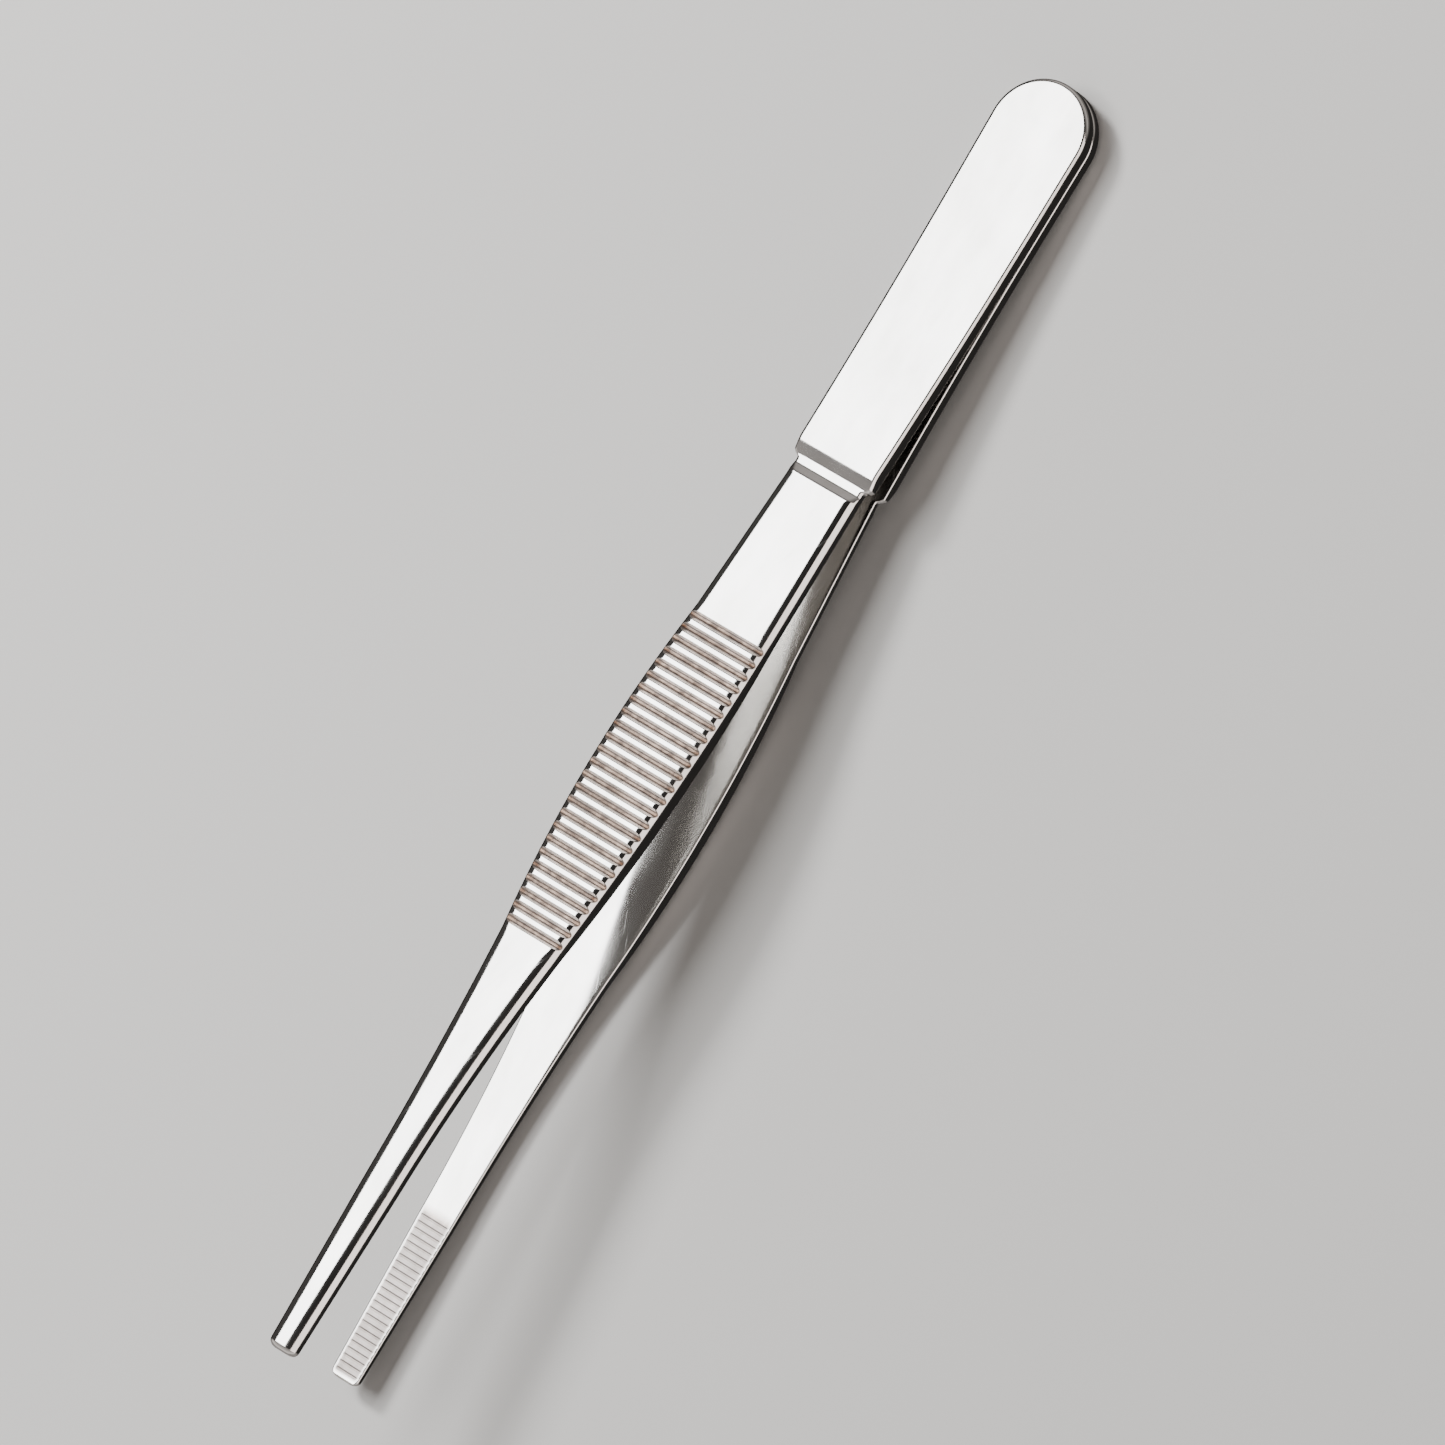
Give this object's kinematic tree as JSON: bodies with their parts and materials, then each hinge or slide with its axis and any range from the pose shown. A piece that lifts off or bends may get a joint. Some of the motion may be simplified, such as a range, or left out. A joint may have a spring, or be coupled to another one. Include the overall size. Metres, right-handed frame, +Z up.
{
  "type": "print tongs",
  "caption": "Sprung steel print tongs with a flat rounded head, grooved finger grips, slim shanks and finely toothed flat jaws.",
  "frame": {"origin": "on the table, under the middle of the bounding box of the open tongs, which lie on the lower arm", "axes": "+X from the rounded head end to the jaw tips, +Y across the arms, +Z up from the table through the lower and then the upper arm"},
  "size_m": [0.1522, 0.0116, 0.0178],
  "materials": {
    "arm_steel": "polished stainless steel, lightly handled",
    "grip_steel": "polished stainless steel with milled round grooves",
    "jaw_steel": "polished stainless steel with fine cross-cut teeth on the inner face",
    "braze": "thin silver-brazed seam, ground flush"
  },
  "bodies": {
    "head": {"head_weld": "braze", "upper_head_plate": "arm_steel", "lower_head_plate": "arm_steel"},
    "upper_arm": {"upper_spring": "arm_steel", "upper_grip": "grip_steel", "upper_shank": "arm_steel", "upper_jaw": "jaw_steel"},
    "lower_arm": {"lower_spring": "arm_steel", "lower_grip": "grip_steel", "lower_shank": "arm_steel", "lower_jaw": "jaw_steel"}
  },
  "joints": [
    {"name": "upper_squeeze", "type": "hinge", "parent": "head", "child": "upper_arm", "pos_m": [-0.02978, 0, 0.00524], "axis": [0, 1, 0], "range_deg": [0, 3.7], "stiffness_Nm_per_rad": 6.8},
    {"name": "lower_squeeze", "type": "hinge", "parent": "head", "child": "lower_arm", "pos_m": [-0.02966, 0, 0.00295], "axis": [0, -1, 0], "range_deg": [0, 3.7], "stiffness_Nm_per_rad": 6.8}
  ],
  "couplings": [
    {"joint": "lower_squeeze", "follows": "upper_squeeze", "ratio": 1}
  ]
}
